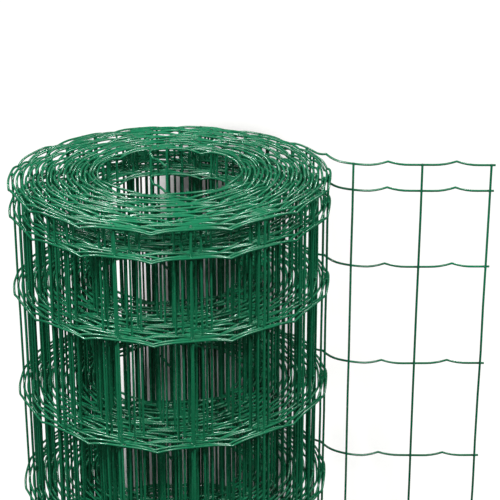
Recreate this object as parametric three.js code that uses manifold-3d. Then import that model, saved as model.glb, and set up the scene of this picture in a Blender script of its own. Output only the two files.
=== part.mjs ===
// A roll of green PVC-coated welded wire mesh, standing on its end.
// Units are millimetres, +Z is up, and the floor is at Z = 0.
// The roll is one solid with its bore: a turned core, a thin disc for each row of line wires, and
// the upright wires of its outermost turn. The two free stretches of the strip, the loose outer
// end and the inner end bent into the bore, have all their wires, fused where they cross.

import * as THREE from 'three';
import { mergeVertices } from 'three/addons/utils/BufferGeometryUtils.js';
import Module from 'manifold-3d';

const wasm = await Module();
wasm.setup();

// The mesh
const CELL_WIDTH = 63.5; // between upright wires
const CELL_HEIGHT = 101.6; // between line wires
const EDGE_ROW = 25.4; // extra line wire this far in from each edge
const CELLS_HIGH = 8;
const WIRE = 2.2; // over the coating
const WELD_SINK = 0.4; // how far two wires sink into each other at a weld
const UPRIGHT_OVERHANG = 1.6; // upright past the middle of the edge line wire
const LINE_STUB = 4; // line wire past the last upright
const CRIMP_HEIGHT = 3.5;
const CRIMP_HALF_WIDTH = 16;

// The roll
const ROLL_RADIUS = 150;
const BORE_RADIUS = 60;
const TELESCOPE = 6; // the turns at the bore stand this much higher than the outer ones
const RIDGES = 11; // each ridge on an end stands for two turns of the strip
const GROOVE_WIDTH = 2.4;
const GROOVE_DEPTH = 4;
const ROLL_SIDES = 40;
const CORE_RADIUS = 120; // outside it, the outer turns are open between their rows of line wires
const TURN_PITCH = 4; // from one turn to the next
const SHOWN_UPRIGHTS = 15; // of the outermost turn
const SHOWN_UPRIGHT_SIDES = 4;

// The loose outer end: it leaves the roll, curves back and runs straight out to +X
const STRIP_RADIUS = 148.6; // middle of the strip where it leaves the roll
const LEAVING_ANGLE = Math.PI / 3; // from the back of the roll towards +X
const BACK_CURVE = 60; // radius of the curve that straightens it
const LOOSE_HEADING = 5.5 * Math.PI / 180; // the straight part's turn from +X towards the back
const REACH = 296; // from the roll's axis to the wires' cut ends
const GAP = 0.3; // left between the roll and the free wires

// The inner end: it is bent straight in from the bore's wall
const INNER_ANGLE = -27.6 * Math.PI / 180; // from the back of the roll towards +X
const INNER_TIP_RADIUS = 11;

const WIRE_SIDES = 6;
const CURVE_STEP = 9; // length of a facet along the curved wires
const SEARCH_STEP = 0.25; // how finely the loose wires' length is worked out

const STRIP_HEIGHT = CELLS_HIGH * CELL_HEIGHT + 2 * UPRIGHT_OVERHANG;
const LAYER_OFFSET = (WIRE - WELD_SINK) / 2; // from the strip's middle to a wire's middle
const AXIS_X = (ROLL_RADIUS - REACH) / 2; // puts the origin under the middle of the whole

const coating = new THREE.MeshStandardMaterial({
  color: 0x239064,
  roughness: 0.35,
  metalness: 0,
});

// Heights of the line wires above the foot of the strip, from the bottom edge up
function lineHeights() {
  const top = CELLS_HIGH * CELL_HEIGHT;
  const rows = [0, EDGE_ROW];
  for (let row = 1; row < CELLS_HIGH; row += 1) {
    rows.push(row * CELL_HEIGHT);
  }
  rows.push(top - EDGE_ROW, top);
  return rows.map((height) => height + UPRIGHT_OVERHANG);
}

// A path that goes straight from point to point, with one step of a tube for each
class PointPath extends THREE.Curve {
  constructor(points) {
    super();
    this.points = points;
  }

  getPoint(t, target = new THREE.Vector3()) {
    const place = t * (this.points.length - 1);
    const index = Math.min(Math.floor(place), this.points.length - 2);
    return target.lerpVectors(this.points[index], this.points[index + 1], place - index);
  }

  getUtoTmapping(u) {
    return u;
  }
}

function wireAlong(points) {
  const section = new THREE.Shape();
  for (let side = 0; side < WIRE_SIDES; side += 1) {
    const angle = (2 * Math.PI * side) / WIRE_SIDES;
    const x = (WIRE / 2) * Math.cos(angle);
    const y = (WIRE / 2) * Math.sin(angle);
    if (side === 0) {
      section.moveTo(x, y);
    } else {
      section.lineTo(x, y);
    }
  }
  return new THREE.ExtrudeGeometry(section, {
    steps: points.length - 1,
    extrudePath: new PointPath(points),
    bevelEnabled: false,
  });
}

// Height of the crimp at a distance along the strip from the last upright
function crimpRise(distance) {
  const fromMiddle = Math.abs(
    THREE.MathUtils.euclideanModulo(distance, CELL_WIDTH) - CELL_WIDTH / 2,
  );
  return CRIMP_HEIGHT * Math.max(0, 1 - fromMiddle / CRIMP_HALF_WIDTH);
}

// Places along a line wire that need a point: both ends, each crimp's feet and top, and the
// steps of any curve
function stations(length, curveStart) {
  const places = [-LINE_STUB, length];
  for (let middle = CELL_WIDTH / 2; middle < length + CRIMP_HALF_WIDTH; middle += CELL_WIDTH) {
    places.push(middle - CRIMP_HALF_WIDTH, middle, middle + CRIMP_HALF_WIDTH);
  }
  for (let place = curveStart; place < length; place += CURVE_STEP) {
    places.push(place);
  }
  const inside = places.filter((place) => place <= length).sort((a, b) => a - b);
  return inside.filter((place, index) => index === 0 || place - inside[index - 1] > 1);
}

function toManifold(geometry) {
  const bare = geometry.index ? geometry.toNonIndexed() : geometry.clone();
  bare.deleteAttribute('normal');
  bare.deleteAttribute('uv');
  const merged = mergeVertices(bare, 1e-4);
  return new wasm.Manifold(new wasm.Mesh({
    numProp: 3,
    vertProperties: new Float32Array(merged.attributes.position.array),
    triVerts: new Uint32Array(merged.index.array),
  }));
}

// Fuses wires into one body
function fuse(wires) {
  const body = wires.map(toManifold).reduce((whole, wire) => whole.add(wire));
  const mesh = body.getMesh();
  const geometry = new THREE.BufferGeometry();
  geometry.setAttribute('position', new THREE.BufferAttribute(mesh.vertProperties, 3));
  geometry.setIndex(new THREE.BufferAttribute(mesh.triVerts, 1));
  geometry.computeVertexNormals();
  return geometry;
}

function namedMesh(name, geometry) {
  const mesh = new THREE.Mesh(geometry, coating);
  mesh.name = name;
  return mesh;
}

// Side of the roll from the head down, as a profile: each row's line wires, turn behind turn,
// make a thin disc that stands out from the core
function rollSide() {
  const endDepth = GROOVE_DEPTH + WIRE;
  const rows = lineHeights().slice(1, -1).reverse();
  const discs = rows.flatMap((height) => [
    [CORE_RADIUS, height + WIRE / 2],
    [ROLL_RADIUS, height + WIRE / 2],
    [ROLL_RADIUS, height - WIRE / 2],
    [CORE_RADIUS, height - WIRE / 2],
  ]);
  return [
    [ROLL_RADIUS, STRIP_HEIGHT - endDepth],
    [CORE_RADIUS, STRIP_HEIGHT - endDepth],
    ...discs,
    [CORE_RADIUS, endDepth],
    [ROLL_RADIUS, endDepth],
  ];
}

// Upright wires of the outermost turn, each a cell further back along the strip from its loose
// end, with their tips inside the end ridges
function rollUprights() {
  const length = STRIP_HEIGHT - 2 * WIRE;
  const firstCell = Math.ceil(freeLength() / CELL_WIDTH);
  return Array.from({ length: SHOWN_UPRIGHTS }, (_, index) => {
    const wound = (firstCell + index) * CELL_WIDTH - freeLength();
    const turn = wound / STRIP_RADIUS;
    const radius = STRIP_RADIUS - LAYER_OFFSET - TURN_PITCH * (turn / (2 * Math.PI));
    const angle = LEAVING_ANGLE - turn;
    return new THREE.CylinderGeometry(WIRE / 2, WIRE / 2, length, SHOWN_UPRIGHT_SIDES)
      .rotateX(Math.PI / 2)
      .rotateZ(-angle)
      .translate(radius * Math.sin(angle), radius * Math.cos(angle), STRIP_HEIGHT / 2);
  });
}

// The wound part of the strip. Its turns show on both ends as flat ridges with grooves between
// them, each ridge a little higher than the one outside it.
function makeRoll() {
  const pitch = (ROLL_RADIUS - BORE_RADIUS + GROOVE_WIDTH) / RIDGES;
  const foot = [];
  for (let ridge = 0; ridge < RIDGES; ridge += 1) {
    const outer = ROLL_RADIUS - ridge * pitch;
    const inner = outer - pitch + GROOVE_WIDTH;
    const rise = (TELESCOPE * ridge) / (RIDGES - 1);
    foot.push([outer, rise], [inner, rise]);
    if (ridge < RIDGES - 1) {
      foot.push([inner - GROOVE_WIDTH / 2, rise + GROOVE_DEPTH]);
    }
  }
  const head = foot.map(([radius, rise], index) => {
    const isGrooveBottom = index % 3 === 2;
    return [radius, STRIP_HEIGHT + rise - (isGrooveBottom ? 2 * GROOVE_DEPTH : 0)];
  });
  const side = rollSide().reverse();
  const profile = [...head, ...foot.reverse(), ...side, head[0]];
  const wound = new THREE.LatheGeometry(
    profile.map(([radius, height]) => new THREE.Vector2(radius, height)),
    ROLL_SIDES,
  );
  wound.rotateX(Math.PI / 2);
  return namedMesh('mesh_roll', fuse([wound, ...rollUprights()]));
}

// Length of the strip's middle from the last upright back to where it leaves the roll
function freeLength() {
  return straightLength() + BACK_CURVE * (LEAVING_ANGLE + LOOSE_HEADING);
}

// Middle of the counter-curve
const curveCentre = new THREE.Vector3(Math.sin(LEAVING_ANGLE), Math.cos(LEAVING_ANGLE), 0)
  .multiplyScalar(STRIP_RADIUS + BACK_CURVE);

// Unit vector across the strip, away from the roll's axis, where it heads this far from +X
function acrossAt(heading) {
  return new THREE.Vector3(-Math.sin(heading), Math.cos(heading), 0);
}

// Length of the straight part, from the counter-curve to the last upright
function straightLength() {
  const curveEndX = curveCentre.x + BACK_CURVE * Math.sin(LOOSE_HEADING);
  return (REACH - curveEndX) / Math.cos(LOOSE_HEADING) - LINE_STUB;
}

// A point of the loose end's middle surface, at a distance back from its last upright, and the
// unit vector across the strip towards the side that faces away from the roll's axis
function loosePlace(distance) {
  const curved = Math.max(0, distance - straightLength());
  const outward = acrossAt(LOOSE_HEADING - curved / BACK_CURVE);
  const point = curveCentre.clone().addScaledVector(outward, -BACK_CURVE);
  const along = new THREE.Vector3(outward.y, -outward.x, 0);
  point.addScaledVector(along, Math.max(0, straightLength() - distance));
  return { point, outward };
}

// Length of loose line wire that is clear of the roll's side
function looseLength() {
  const clear = ROLL_RADIUS + GAP + WIRE / 2 - LAYER_OFFSET;
  let length = REACH - LINE_STUB - ROLL_RADIUS;
  while (loosePlace(length + SEARCH_STEP).point.length() > clear) {
    length += SEARCH_STEP;
  }
  return length;
}

function makeLooseEnd() {
  const length = looseLength();
  const wires = lineHeights().map((height) => {
    const points = stations(length, straightLength()).map((distance) => {
      const { point, outward } = loosePlace(distance);
      point.addScaledVector(outward, LAYER_OFFSET);
      point.z = height + crimpRise(distance);
      return point;
    });
    return wireAlong(points);
  });
  for (let distance = 0; distance < length; distance += CELL_WIDTH) {
    const { point, outward } = loosePlace(distance);
    point.addScaledVector(outward, -LAYER_OFFSET);
    wires.push(wireAlong([point, point.clone().setZ(STRIP_HEIGHT)]));
  }
  return namedMesh('loose_end', fuse(wires));
}

// A point of the inner end's middle surface at a distance back from its last upright
function innerPlace(distance) {
  const radius = INNER_TIP_RADIUS + LINE_STUB + distance;
  return new THREE.Vector3(
    radius * Math.sin(INNER_ANGLE),
    radius * Math.cos(INNER_ANGLE),
    0,
  );
}

function makeInnerEnd() {
  const wall = BORE_RADIUS * Math.cos(Math.PI / ROLL_SIDES) - GAP;
  const length = Math.sqrt(wall ** 2 - WIRE ** 2) - INNER_TIP_RADIUS - LINE_STUB;
  const outward = new THREE.Vector3(Math.cos(INNER_ANGLE), -Math.sin(INNER_ANGLE), 0);
  const wires = lineHeights().map((height) => {
    const points = stations(length, length).map((distance) => {
      const point = innerPlace(distance).addScaledVector(outward, LAYER_OFFSET);
      point.z = height + TELESCOPE - crimpRise(distance);
      return point;
    });
    return wireAlong(points);
  });
  const foot = innerPlace(0).addScaledVector(outward, -LAYER_OFFSET).setZ(TELESCOPE);
  wires.push(wireAlong([foot, foot.clone().setZ(TELESCOPE + STRIP_HEIGHT)]));
  return namedMesh('inner_end', fuse(wires));
}

const roll = new THREE.Group();
roll.add(makeRoll(), makeLooseEnd(), makeInnerEnd());
roll.position.x = AXIS_X;

export default roll;
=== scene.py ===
"""The looks of a roll of green PVC-coated welded garden mesh, standing on its end.

The mesh is modelled flat, as the welding machine leaves it: one cell of each line wire with its
crimp and its weld, and one upright wire, repeated along the strip. A guide curve then winds the
whole strip up, from the inner end that is bent into the bore to the loose end at the right.
"""

import math

import bpy
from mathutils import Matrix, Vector


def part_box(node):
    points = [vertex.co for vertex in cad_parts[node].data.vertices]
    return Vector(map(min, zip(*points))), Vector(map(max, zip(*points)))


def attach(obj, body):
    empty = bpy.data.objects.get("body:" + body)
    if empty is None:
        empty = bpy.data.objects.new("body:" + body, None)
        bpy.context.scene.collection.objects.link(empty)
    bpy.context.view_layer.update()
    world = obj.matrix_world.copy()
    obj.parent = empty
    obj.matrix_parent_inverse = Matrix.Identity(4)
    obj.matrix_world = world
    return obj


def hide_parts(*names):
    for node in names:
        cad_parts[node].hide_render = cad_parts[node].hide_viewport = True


MM = 0.001

# The mesh, as the part's source has it
CELL_WIDTH = 63.5 * MM
CELL_HEIGHT = 101.6 * MM
EDGE_ROW = 25.4 * MM
CELLS_HIGH = 8
WIRE_RADIUS = 1.1 * MM
CORE_RADIUS = 0.9 * MM
WELD_SINK = 0.4 * MM
UPRIGHT_OVERHANG = 1.6 * MM
LINE_STUB = 4 * MM
CRIMP_HEIGHT = 3.5 * MM
CRIMP_REACH = 20 * MM
LOOSE_CELLS = 3

# The winding, as the part's source has it
INNER_ANGLE = math.radians(-27.6)
INNER_TIP_RADIUS = 11 * MM
INNER_BEND = 5 * MM
LEAVING_ANGLE = math.radians(60)
BACK_CURVE = 60 * MM
LOOSE_HEADING = math.radians(5.5)
REACH = 295.6 * MM  # just inside the source's 296 mm

# The turns. These are near the source's sizes and not equal to them: out of many windings that
# were tried, this one leaves narrow gaps between the uprights as the camera sees them
TURNS = 22
STRIP_CELLS = 234
FIRST_RADIUS = 62.7 * MM
OUTER_RADIUS = 147.8 * MM

# How far the wound strip is from a perfect spiral
FOOT_GAP = 0.9 * MM
TELESCOPE = 4.2 * MM
HEIGHT_WAVES = ((0.45 * MM, 0.93, 0.4), (0.3 * MM, 0.37, 1.9))
RADIUS_WAVES = ((0.2 * MM, 0.71, 0.0), (0.25 * MM, 0.29, 2.3))
CRIMP_CORNER = 0.5 * MM
SAG_SIZE = 45 * MM
SAG_DEPTH = 1.1 * MM

# How finely the wires are made
WIRE_SIDES = 8
CELL_STEPS = 12
UPRIGHT_STEPS = 17
BEND_STEPS = 6
SMOOTH_ANGLE = math.radians(50)
PICK_DISTANCE = 0.01 * MM
MERGE_DISTANCE = 0.02 * MM

# The bead at a weld, as wide along the wires as across them and a little flatter between them
BEAD_RADIUS = 1.0 * MM
BEAD_STRETCH = (1.45, 1.1, 1.45)

STRIP_HEIGHT = CELLS_HIGH * CELL_HEIGHT + 2 * UPRIGHT_OVERHANG
LAYER_OFFSET = WIRE_RADIUS - WELD_SINK / 2

# The camera, measured from the roll's axis at its top edge
PHOTO_SIDE = 500
CAMERA_RIGHT = 203 * MM
CAMERA_BACK = 1350 * MM
CAMERA_ABOVE = 466 * MM
CAMERA_PITCH = math.radians(21.632)
CAMERA_YAW = math.radians(5.53)
FOCAL_PIXELS = 1579.8
SENSOR_WIDTH = 36.0

# The studio: name, azimuth, elevation, distance and size in metres, and watts of each soft box
ROLL_LIGHTS = (
    ("left_light", -58, 38, 2.2, 0.3, 50),
    ("right_light", 62, 38, 2.2, 0.3, 46),
    ("front_light", -6, 42, 2.4, 0.5, 37),
    ("back_left_light", -145, 40, 2.4, 0.3, 20),
    ("back_right_light", 150, 40, 2.4, 0.3, 20),
)
AIM_BELOW_TOP = 100 * MM
FLOOR_LIGHT_AZIMUTH = 5.6
FLOOR_LIGHT_ELEVATION = 18
FLOOR_LIGHT_WIDTH = 3
FLOOR_LIGHT_STRENGTH = 11.8
FLOOR_SIDE = 24
WORLD_STRENGTH = 0.04


def line_heights():
    """Heights of the line wires above the foot of the strip."""
    top = CELLS_HIGH * CELL_HEIGHT
    rows = [0, EDGE_ROW]
    rows += [row * CELL_HEIGHT for row in range(1, CELLS_HIGH)]
    rows += [top - EDGE_ROW, top]
    return [height + UPRIGHT_OVERHANG for height in rows]


def deselect_all():
    if bpy.context.object and bpy.context.object.mode != "OBJECT":
        bpy.ops.object.mode_set(mode="OBJECT")
    bpy.ops.object.select_all(action="DESELECT")


def choose(*objects):
    """Selects these objects, the first one active."""
    deselect_all()
    for obj in objects:
        obj.select_set(True)
    bpy.context.view_layer.objects.active = objects[0]


def place_in_mesh(obj):
    choose(obj)
    bpy.ops.object.transform_apply(location=True, rotation=True, scale=True)


def apply_all(obj):
    choose(obj)
    for modifier in list(obj.modifiers):
        bpy.ops.object.modifier_apply(modifier=modifier.name)


def select_part(obj, kind, wanted):
    """In edit mode, selects the vertices, edges or faces that wanted() says."""
    bpy.ops.mesh.select_mode(type=kind)
    bpy.ops.mesh.select_all(action="DESELECT")
    bpy.ops.object.mode_set(mode="OBJECT")
    parts = {"VERT": obj.data.vertices, "EDGE": obj.data.edges, "FACE": obj.data.polygons}[kind]
    for part in parts:
        part.select = wanted(part)
    bpy.ops.object.mode_set(mode="EDIT")


def duplicate(obj, name):
    choose(obj)
    bpy.ops.object.duplicate(linked=False)
    copy = bpy.context.object
    copy.name = name
    return copy


def joined(name, *objects):
    choose(*objects)
    bpy.ops.object.join()
    whole = bpy.context.object
    whole.name = name
    return whole


def srgb(code):
    """A hex colour as the linear colour that a shader takes."""
    channels = [int(code[i : i + 2], 16) / 255 for i in (1, 3, 5)]
    linear = [c / 12.92 if c <= 0.04045 else ((c + 0.055) / 1.055) ** 2.4 for c in channels]
    return (*linear, 1.0)


def node(tree, kind, settings=None, links=None):
    """Adds a node, sets its properties and inputs, and links inputs to other nodes' outputs."""
    made = tree.nodes.new(kind)
    for key, value in (settings or {}).items():
        if isinstance(key, str) and hasattr(made, key) and key not in made.inputs:
            setattr(made, key, value)
        else:
            made.inputs[key].default_value = value
    for key, (source, output) in (links or {}).items():
        tree.links.new(source.outputs[output], made.inputs[key])
    return made


def new_material(name):
    material = bpy.data.materials.new(name)
    material.use_nodes = True
    tree = material.node_tree
    tree.nodes.clear()
    return material, tree


def pvc_coating():
    """Plasticised PVC, fused on to hot wire: a smooth glossy skin with a faint orange peel."""
    material, tree = new_material("pvc_coating")
    place = node(tree, "ShaderNodeTexCoord")
    # The colour drifts a little along the strip, a hand's breadth at a time
    drift = node(
        tree,
        "ShaderNodeTexNoise",
        {"Scale": 1 / (80 * MM), "Detail": 2.0},
        {"Vector": (place, "Object")},
    )
    green = node(tree, "ShaderNodeValToRGB", None, {"Fac": (drift, "Fac")})
    green.color_ramp.elements[0].position = 0.3
    green.color_ramp.elements[0].color = srgb("#0e583a")
    green.color_ramp.elements[1].position = 0.7
    green.color_ramp.elements[1].color = srgb("#166a48")
    # Orange peel of the fused skin, a few tenths of a millimetre from bump to bump
    peel = node(
        tree,
        "ShaderNodeTexNoise",
        {"Scale": 1 / (0.9 * MM), "Detail": 2.0},
        {"Vector": (place, "Object")},
    )
    bump = node(
        tree,
        "ShaderNodeBump",
        {"Strength": 0.25, "Distance": 0.05 * MM},
        {"Height": (peel, "Fac")},
    )
    # Dull handling marks where turns have rubbed on each other
    rub = node(
        tree,
        "ShaderNodeTexNoise",
        {"Scale": 1 / (9 * MM), "Detail": 4.0, "Roughness": 0.6},
        {"Vector": (place, "Object")},
    )
    dullness = node(
        tree,
        "ShaderNodeMapRange",
        {"From Min": 0.35, "From Max": 0.7, "To Min": 0.16, "To Max": 0.36},
        {"Value": (rub, "Fac")},
    )
    skin = node(
        tree,
        "ShaderNodeBsdfPrincipled",
        {"IOR": 1.53, "Metallic": 0.0},
        {
            "Base Color": (green, "Color"),
            "Roughness": (dullness, "Result"),
            "Normal": (bump, "Normal"),
        },
    )
    node(tree, "ShaderNodeOutputMaterial", None, {"Surface": (skin, "BSDF")})
    return material


def cut_steel():
    """Galvanised steel wire, sheared: a bright grey core with a ragged face."""
    material, tree = new_material("cut_steel_core")
    place = node(tree, "ShaderNodeTexCoord")
    shear = node(
        tree,
        "ShaderNodeTexNoise",
        {"Scale": 1 / (0.5 * MM), "Detail": 3.0},
        {"Vector": (place, "Object")},
    )
    grey = node(tree, "ShaderNodeValToRGB", None, {"Fac": (shear, "Fac")})
    grey.color_ramp.elements[0].color = srgb("#6f7274")
    grey.color_ramp.elements[1].color = srgb("#b9bcbd")
    bump = node(
        tree,
        "ShaderNodeBump",
        {"Strength": 0.5, "Distance": 0.1 * MM},
        {"Height": (shear, "Fac")},
    )
    steel = node(
        tree,
        "ShaderNodeBsdfPrincipled",
        {"Metallic": 1.0, "Roughness": 0.45},
        {"Base Color": (grey, "Color"), "Normal": (bump, "Normal")},
    )
    node(tree, "ShaderNodeOutputMaterial", None, {"Surface": (steel, "BSDF")})
    return material


def studio_floor():
    material, tree = new_material("studio_floor")
    paper = node(
        tree,
        "ShaderNodeBsdfPrincipled",
        {"Base Color": srgb("#f4f4f2"), "Roughness": 0.9},
    )
    node(tree, "ShaderNodeOutputMaterial", None, {"Surface": (paper, "BSDF")})
    return material


def wound_points(axis_x):
    """Points of the strip's middle at its foot, from the tip of the inner end to the loose end."""
    points = []
    travelled = 0.0
    step = CELL_WIDTH / CELL_STEPS

    def wave(waves):
        return sum(
            size * math.sin(2 * math.pi * travelled / length + phase)
            for size, length, phase in waves
        )

    def add(x, y, height):
        nonlocal travelled
        if points:
            travelled += math.hypot(x - points[-1].x, y - points[-1].y)
        points.append(Vector((x, y, height)))

    def around(angle, radius, height):
        add(axis_x + radius * math.sin(angle), radius * math.cos(angle), height)

    # The inner end, straight out towards the bore's wall, and the bend into the first turn
    inner_height = FOOT_GAP + TELESCOPE
    bend_radius = FIRST_RADIUS - INNER_BEND
    straight_steps = math.ceil((bend_radius - INNER_TIP_RADIUS) / step)
    for i in range(straight_steps):
        reach = (bend_radius - INNER_TIP_RADIUS) * i / straight_steps
        around(INNER_ANGLE, INNER_TIP_RADIUS + reach, inner_height)
    for i in range(BEND_STEPS + 1):
        turn = math.pi / 2 * i / BEND_STEPS
        out = bend_radius + INNER_BEND * math.sin(turn)
        side = INNER_BEND * (1 - math.cos(turn))
        around(INNER_ANGLE + math.atan2(side, out), math.hypot(side, out), inner_height)

    # The turns
    first_angle = INNER_ANGLE + math.atan2(INNER_BEND, FIRST_RADIUS)
    whole = LEAVING_ANGLE - first_angle + 2 * math.pi * TURNS
    angle = 0.0
    while True:
        share = angle / whole
        radius = FIRST_RADIUS + (OUTER_RADIUS - FIRST_RADIUS) * share
        angle += step / radius
        if angle > whole:
            break
        fade = min(1.0, angle / math.pi, (whole - angle) / math.pi)
        corner = -CRIMP_CORNER * math.cos(2 * math.pi * (travelled - LINE_STUB) / CELL_WIDTH)
        around(
            first_angle + angle,
            radius + fade * (corner + wave(RADIUS_WAVES)),
            FOOT_GAP + TELESCOPE * (1 - share) + fade * wave(HEIGHT_WAVES),
        )

    # The counter-curve and the straight loose end
    centre_x = (OUTER_RADIUS + BACK_CURVE) * math.sin(LEAVING_ANGLE)
    centre_y = (OUTER_RADIUS + BACK_CURVE) * math.cos(LEAVING_ANGLE)
    bend = LEAVING_ANGLE + LOOSE_HEADING
    curve_steps = math.ceil(BACK_CURVE * bend / step)
    for i in range(curve_steps + 1):
        heading = bend * i / curve_steps - LEAVING_ANGLE
        curve_x = centre_x + BACK_CURVE * math.sin(heading)
        curve_y = centre_y - BACK_CURVE * math.cos(heading)
        add(axis_x + curve_x, curve_y, FOOT_GAP)
    loose_rise = (REACH - curve_x) * math.tan(LOOSE_HEADING)
    add(axis_x + REACH, curve_y + loose_rise, FOOT_GAP)
    return points


def winding_guide(axis_x):
    """The curve that winds the flat strip up, and its length."""
    points = wound_points(axis_x)
    curve = bpy.data.curves.new("winding_guide", "CURVE")
    curve.dimensions = "3D"
    curve.twist_mode = "Z_UP"
    line = curve.splines.new("POLY")
    line.points.add(len(points) - 1)
    for spot, point in zip(line.points, points):
        spot.co = (*point, 1.0)
    guide = bpy.data.objects.new("winding_guide", curve)
    bpy.context.scene.collection.objects.link(guide)
    length = sum((b - a).length for a, b in zip(points, points[1:]))
    return guide, length


def cap_with_core(obj, at_x, coating_slot, core_slot):
    """Closes a tube's open end at that place along X, with the steel core inset in the coating."""
    select_part(obj, "VERT", lambda v: abs(v.co.x - at_x) < PICK_DISTANCE)
    bpy.ops.mesh.edge_face_add()
    bpy.ops.mesh.select_mode(type="FACE")
    bpy.context.object.active_material_index = coating_slot
    bpy.ops.object.material_slot_assign()
    bpy.ops.mesh.inset(thickness=WIRE_RADIUS - CORE_RADIUS)
    bpy.context.object.active_material_index = core_slot
    bpy.ops.object.material_slot_assign()


def line_wire_cell(crimp, pitch):
    """One cell of a line wire, an open tube along X with a crimp in its middle."""
    deselect_all()
    bpy.ops.mesh.primitive_cylinder_add(
        vertices=WIRE_SIDES,
        radius=WIRE_RADIUS,
        depth=pitch,
        end_fill_type="NOTHING",
        location=(pitch / 2, 0, 0),
        rotation=(0, math.pi / 2, 0),
    )
    cell = bpy.context.object
    place_in_mesh(cell)
    bpy.ops.object.mode_set(mode="EDIT")
    corners = cell.data.vertices

    def runs_along(edge):
        a, b = (corners[v].co.x for v in edge.vertices)
        return abs(a - b) > pitch / 2

    select_part(cell, "EDGE", runs_along)
    bpy.ops.mesh.subdivide(number_cuts=CELL_STEPS - 1)
    select_part(cell, "VERT", lambda v: abs(v.co.x - pitch / 2) < PICK_DISTANCE)
    bpy.ops.transform.translate(
        value=(0, 0, crimp),
        use_proportional_edit=True,
        proportional_edit_falloff="SHARP",
        proportional_size=CRIMP_REACH,
    )
    bpy.ops.object.mode_set(mode="OBJECT")
    return cell


def weld_bead():
    """The bead of steel and coating where two wires cross, flattened between them."""
    deselect_all()
    bpy.ops.mesh.primitive_uv_sphere_add(
        segments=8,
        ring_count=4,
        radius=BEAD_RADIUS,
        location=(0, 0, 0),
    )
    bead = bpy.context.object
    bead.scale = BEAD_STRETCH
    place_in_mesh(bead)
    return bead


def repeat(obj, count, pitch, merge=False):
    """Repeats an object along X with an array, applied."""
    array = obj.modifiers.new("along_strip", "ARRAY")
    array.count = count
    array.use_relative_offset = False
    array.use_constant_offset = True
    array.constant_offset_displace = (pitch, 0, 0)
    array.use_merge_vertices = merge
    array.merge_threshold = MERGE_DISTANCE
    apply_all(obj)


def shift(obj, x=0.0, y=0.0, z=0.0):
    obj.location = (x, y, z)
    place_in_mesh(obj)


def flat_line_wire(cells, pitch, materials, roll_crimp):
    """A whole line wire, flat, with its welds and cut ends. The loose end's crimps point up."""
    rolled = line_wire_cell(roll_crimp, pitch)
    repeat(rolled, cells - LOOSE_CELLS, pitch, merge=True)
    loose = line_wire_cell(CRIMP_HEIGHT, pitch)
    repeat(loose, LOOSE_CELLS, pitch, merge=True)
    shift(loose, x=(cells - LOOSE_CELLS) * pitch)
    wire = joined("line_wire", rolled, loose)
    bpy.ops.object.mode_set(mode="EDIT")
    bpy.ops.mesh.select_all(action="SELECT")
    bpy.ops.mesh.remove_doubles(threshold=MERGE_DISTANCE)
    for end_x, stub in ((0, -LINE_STUB), (cells * pitch, LINE_STUB)):
        select_part(wire, "VERT", lambda v, x=end_x: abs(v.co.x - x) < PICK_DISTANCE)
        bpy.ops.mesh.extrude_region_move(TRANSFORM_OT_translate={"value": (stub, 0, 0)})
    for material in materials:
        wire.data.materials.append(material)
    cap_with_core(wire, -LINE_STUB, 0, 1)
    cap_with_core(wire, cells * pitch + LINE_STUB, 0, 1)
    bpy.ops.mesh.select_all(action="SELECT")
    bpy.ops.mesh.normals_make_consistent(inside=False)
    bpy.ops.object.mode_set(mode="OBJECT")
    bead = weld_bead()
    bead.data.materials.append(materials[0])
    repeat(bead, cells + 1, pitch)
    shift(bead, y=-LAYER_OFFSET)
    whole = joined("line_wire", wire, bead)
    shift(whole, x=LINE_STUB, y=LAYER_OFFSET)
    choose(whole)
    bpy.ops.object.shade_smooth_by_angle(angle=SMOOTH_ANGLE)
    return whole


def flat_uprights(count, pitch, materials):
    """All the upright wires, flat: straight wires with cut ends, one for each weld."""
    deselect_all()
    bpy.ops.mesh.primitive_cylinder_add(
        vertices=WIRE_SIDES,
        radius=WIRE_RADIUS,
        depth=STRIP_HEIGHT,
        end_fill_type="NGON",
        location=(LINE_STUB, -LAYER_OFFSET, STRIP_HEIGHT / 2),
    )
    upright = bpy.context.object
    place_in_mesh(upright)
    for material in materials:
        upright.data.materials.append(material)
    bpy.ops.object.mode_set(mode="EDIT")
    corners = upright.data.vertices
    select_part(upright, "FACE", lambda f: abs(f.normal.z) > 0.9)
    bpy.ops.mesh.inset(thickness=WIRE_RADIUS - CORE_RADIUS)
    upright.active_material_index = 1
    bpy.ops.object.material_slot_assign()

    def stands(edge):
        a, b = (corners[v].co.z for v in edge.vertices)
        return abs(a - b) > STRIP_HEIGHT / 2

    select_part(upright, "EDGE", stands)
    bpy.ops.mesh.subdivide(number_cuts=UPRIGHT_STEPS - 1)
    bpy.ops.object.mode_set(mode="OBJECT")
    bpy.ops.object.shade_smooth_by_angle(angle=SMOOTH_ANGLE)
    repeat(upright, count, pitch)
    upright.name = "upright_wires"
    return upright


def sag_textures():
    """Soft noise that puts every wire a little out of true, one for each direction."""
    textures = []
    for name, depth in (("sag_x", 0), ("sag_y", 1), ("sag_z", 2)):
        texture = bpy.data.textures.new(name, "CLOUDS")
        texture.noise_scale = SAG_SIZE * (1 + 0.3 * depth)
        texture.noise_depth = 1
        textures.append(texture)
    return textures


def wind_up(obj, guide, textures):
    """Winds a flat piece along the guide and puts it a little out of true."""
    winding = obj.modifiers.new("winding", "CURVE")
    winding.object = guide
    winding.deform_axis = "POS_X"
    for axis, texture in zip("XYZ", textures):
        sag = obj.modifiers.new("out_of_true", "DISPLACE")
        sag.texture = texture
        sag.direction = axis
        sag.strength = SAG_DEPTH
        sag.mid_level = 0.5
    apply_all(obj)


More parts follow.
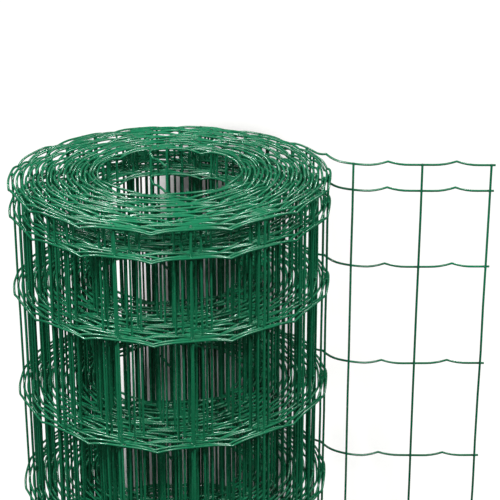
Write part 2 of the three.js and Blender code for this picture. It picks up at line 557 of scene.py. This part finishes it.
def make_mesh_roll():
    low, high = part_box("mesh_roll")
    axis_x = (low.x + high.x) / 2
    guide, length = winding_guide(axis_x)
    pitch = (length - 2 * LINE_STUB) / STRIP_CELLS
    materials = (pvc_coating(), cut_steel())
    textures = sag_textures()
    pieces = [flat_uprights(STRIP_CELLS + 1, pitch, materials)]
    # The foot's wire is crimped up, so that the roll stands on its uprights' cut ends
    foot_wire = flat_line_wire(STRIP_CELLS, pitch, materials, CRIMP_HEIGHT)
    foot_wire.name = "line_wire_01"
    other_wire = flat_line_wire(STRIP_CELLS, pitch, materials, -CRIMP_HEIGHT)
    heights = line_heights()
    for number, height in enumerate(heights[1:], start=2):
        wire = duplicate(other_wire, f"line_wire_{number:02d}")
        shift(wire, z=height)
        pieces.append(wire)
    shift(foot_wire, z=heights[0])
    pieces.append(foot_wire)
    bpy.data.objects.remove(other_wire)
    for piece in pieces:
        wind_up(piece, guide, textures)
        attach(piece, "root")
    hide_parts("mesh_roll", "loose_end", "inner_end")
    bpy.data.objects.remove(guide)
    return axis_x, pieces


def make_camera(axis_x):
    camera = bpy.data.cameras.new("camera")
    camera.sensor_width = SENSOR_WIDTH
    camera.lens = FOCAL_PIXELS * SENSOR_WIDTH / PHOTO_SIDE
    holder = bpy.data.objects.new("camera", camera)
    bpy.context.scene.collection.objects.link(holder)
    holder.location = (axis_x + CAMERA_RIGHT, -CAMERA_BACK, STRIP_HEIGHT + CAMERA_ABOVE)
    holder.rotation_euler = (math.pi / 2 - CAMERA_PITCH, 0, CAMERA_YAW)
    bpy.context.scene.camera = holder


def soft_light(name, place, aim, size, watts):
    """A square soft box."""
    light = bpy.data.lights.new(name, "AREA")
    light.size = size
    light.energy = watts
    holder = bpy.data.objects.new(name, light)
    bpy.context.scene.collection.objects.link(holder)
    holder.location = place
    holder.rotation_mode = "QUATERNION"
    holder.rotation_quaternion = (Vector(aim) - Vector(place)).to_track_quat("-Z", "Y")
    return holder


def distant_light(name, azimuth, elevation, width, strength):
    """A large soft light far away, as wide as that many degrees. Azimuth 0 is in front."""
    light = bpy.data.lights.new(name, "SUN")
    light.energy = strength
    light.angle = math.radians(width)
    holder = bpy.data.objects.new(name, light)
    bpy.context.scene.collection.objects.link(holder)
    holder.rotation_euler = (math.radians(90 - elevation), 0, math.radians(azimuth))
    return holder


def around_roll(axis_x, azimuth, elevation, distance):
    """A place seen from the roll's head. Azimuth 0 is in front, and positive is to the right."""
    a, e = math.radians(azimuth), math.radians(elevation)
    x = axis_x + distance * math.sin(a) * math.cos(e)
    y = -distance * math.cos(a) * math.cos(e)
    return (x, y, STRIP_HEIGHT + distance * math.sin(e))


def make_studio(axis_x, pieces):
    deselect_all()
    bpy.ops.mesh.primitive_plane_add(size=FLOOR_SIDE, location=(0, 0, 0))
    floor = bpy.context.object
    floor.name = "floor"
    floor.data.materials.append(studio_floor())
    # A studio trick: the wires neither mirror the pale floor nor are lit up by it
    floor.visible_diffuse = False
    floor.visible_glossy = False
    world = bpy.data.worlds.new("studio")
    world.use_nodes = True
    world.node_tree.nodes["Background"].inputs["Color"].default_value = srgb("#ffffff")
    world.node_tree.nodes["Background"].inputs["Strength"].default_value = WORLD_STRENGTH
    bpy.context.scene.world = world
    head = (axis_x, 0, STRIP_HEIGHT - AIM_BELOW_TOP)
    roll_lights = [
        soft_light(name, around_roll(axis_x, azimuth, elevation, distance), head, size, watts)
        for name, azimuth, elevation, distance, size, watts in ROLL_LIGHTS
    ]
    # Close to the camera's line, so that the roll's shadow lies behind the roll
    floor_light = distant_light(
        "floor_light",
        FLOOR_LIGHT_AZIMUTH,
        FLOOR_LIGHT_ELEVATION,
        FLOOR_LIGHT_WIDTH,
        FLOOR_LIGHT_STRENGTH,
    )
    # The floor has its own light and the roll has its own five
    floor_only = bpy.data.collections.new("lit_by_floor_lights")
    floor_only.objects.link(floor)
    floor_light.light_linking.receiver_collection = floor_only
    roll_only = bpy.data.collections.new("lit_by_roll_lights")
    for piece in pieces:
        roll_only.objects.link(piece)
    for light in roll_lights:
        light.light_linking.receiver_collection = roll_only
    bpy.context.scene.view_settings.view_transform = "Standard"


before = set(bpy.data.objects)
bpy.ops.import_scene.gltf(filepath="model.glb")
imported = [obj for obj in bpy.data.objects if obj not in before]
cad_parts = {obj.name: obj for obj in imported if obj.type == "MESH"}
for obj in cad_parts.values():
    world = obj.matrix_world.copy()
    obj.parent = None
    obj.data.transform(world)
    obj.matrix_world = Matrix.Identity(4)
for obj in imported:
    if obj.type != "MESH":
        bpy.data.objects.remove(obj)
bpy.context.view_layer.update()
deselect_all()
roll_axis_x, roll_pieces = make_mesh_roll()
make_camera(roll_axis_x)
make_studio(roll_axis_x, roll_pieces)
